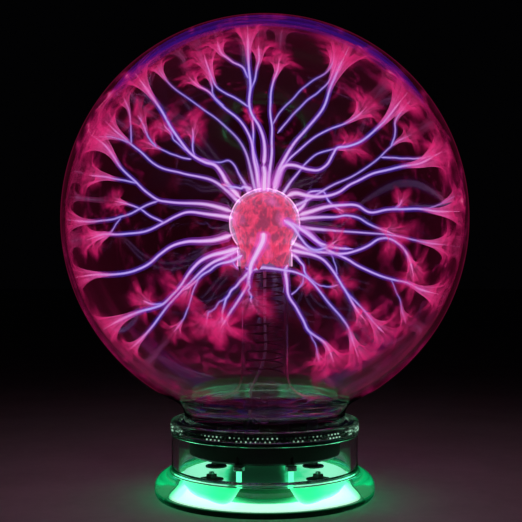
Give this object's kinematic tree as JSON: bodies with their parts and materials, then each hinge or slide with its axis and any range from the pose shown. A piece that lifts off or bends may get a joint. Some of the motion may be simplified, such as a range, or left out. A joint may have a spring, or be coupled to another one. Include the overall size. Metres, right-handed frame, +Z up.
{
  "type": "plasma ball",
  "caption": "Table-top plasma ball: glass globe with a glass stem and electrode bulb on a clear base lit by a green ring lamp, with a slide switch at the back.",
  "frame": {"origin": "on the table, under the centre of the globe, at the underside of the rubber feet", "axes": "+Z up along the axis of the globe; -Y is the front; +Y is the back, with the rear panel; +X to the right seen from the front"},
  "size_m": [0.1998, 0.1998, 0.238],
  "materials": {
    "clear_glass": "clear blown glass",
    "base_glass": "clear moulded glass, faintly green",
    "metal_wool": "crumpled metal wool, lit red by the discharge",
    "steel": "bright steel",
    "white_plastic": "matt white",
    "black_rubber": "matt black",
    "black_plastic": "satin black",
    "circuit_board": "green solder mask",
    "ferrite": "dark sintered ferrite",
    "amber_tape": "amber film",
    "aluminium": "extruded",
    "red_wire": "insulated wire",
    "lamp_glass": "green gas-discharge tube, lit"
  },
  "bodies": {
    "lamp": {"globe": "clear_glass", "stem_bulb": "clear_glass", "exhaust_tip": "clear_glass", "electrode_wool": "metal_wool", "contact_coil": "steel", "hv_lead": "white_plastic", "hv_boot": "black_rubber", "neck_gasket": "black_rubber", "collar_ring": "base_glass", "base_shell": "base_glass", "driver_housing": "black_plastic", "driver_board": "circuit_board", "board_screw_1": "steel", "board_screw_2": "steel", "board_screw_3": "steel", "flyback_core": "ferrite", "flyback_winding": "amber_tape", "heat_sink": "aluminium", "power_transistor": "black_plastic", "filter_capacitor": "black_plastic", "timing_capacitor": "black_plastic", "film_capacitor": "amber_tape", "trimmer": "white_plastic", "rear_panel": "black_plastic", "panel_screw_1": "steel", "panel_screw_2": "steel", "microphone": "aluminium", "dc_jack": "black_plastic", "dc_jack_pin": "steel", "switch_frame": "steel", "power_lead": "red_wire", "switch_lead": "black_plastic", "ring_lamp": "lamp_glass", "lamp_cap_left": "steel", "lamp_cap_right": "steel", "base_plate": "black_plastic", "reflector_disc": "white_plastic", "diffuser_plate": "white_plastic", "bolt_1": "steel", "bolt_2": "steel", "bolt_3": "steel", "bolt_4": "steel", "spacer_1": "black_plastic", "spacer_2": "black_plastic", "spacer_3": "black_plastic", "spacer_4": "black_plastic", "flange_nut_1": "black_plastic", "flange_nut_2": "black_plastic", "flange_nut_3": "black_plastic", "flange_nut_4": "black_plastic", "foot_1": "black_rubber", "foot_2": "black_rubber", "foot_3": "black_rubber", "foot_4": "black_rubber", "inverter_board": "circuit_board", "inverter_coil": "amber_tape", "ballast_capacitor": "white_plastic", "inverter_transistor": "black_plastic"},
    "switch": {"switch_slider": "white_plastic"}
  },
  "joints": [
    {"name": "power_switch", "type": "slide", "parent": "lamp", "child": "switch", "axis": [1, 0, 0], "range_m": [-0.002, 0.002]}
  ]
}
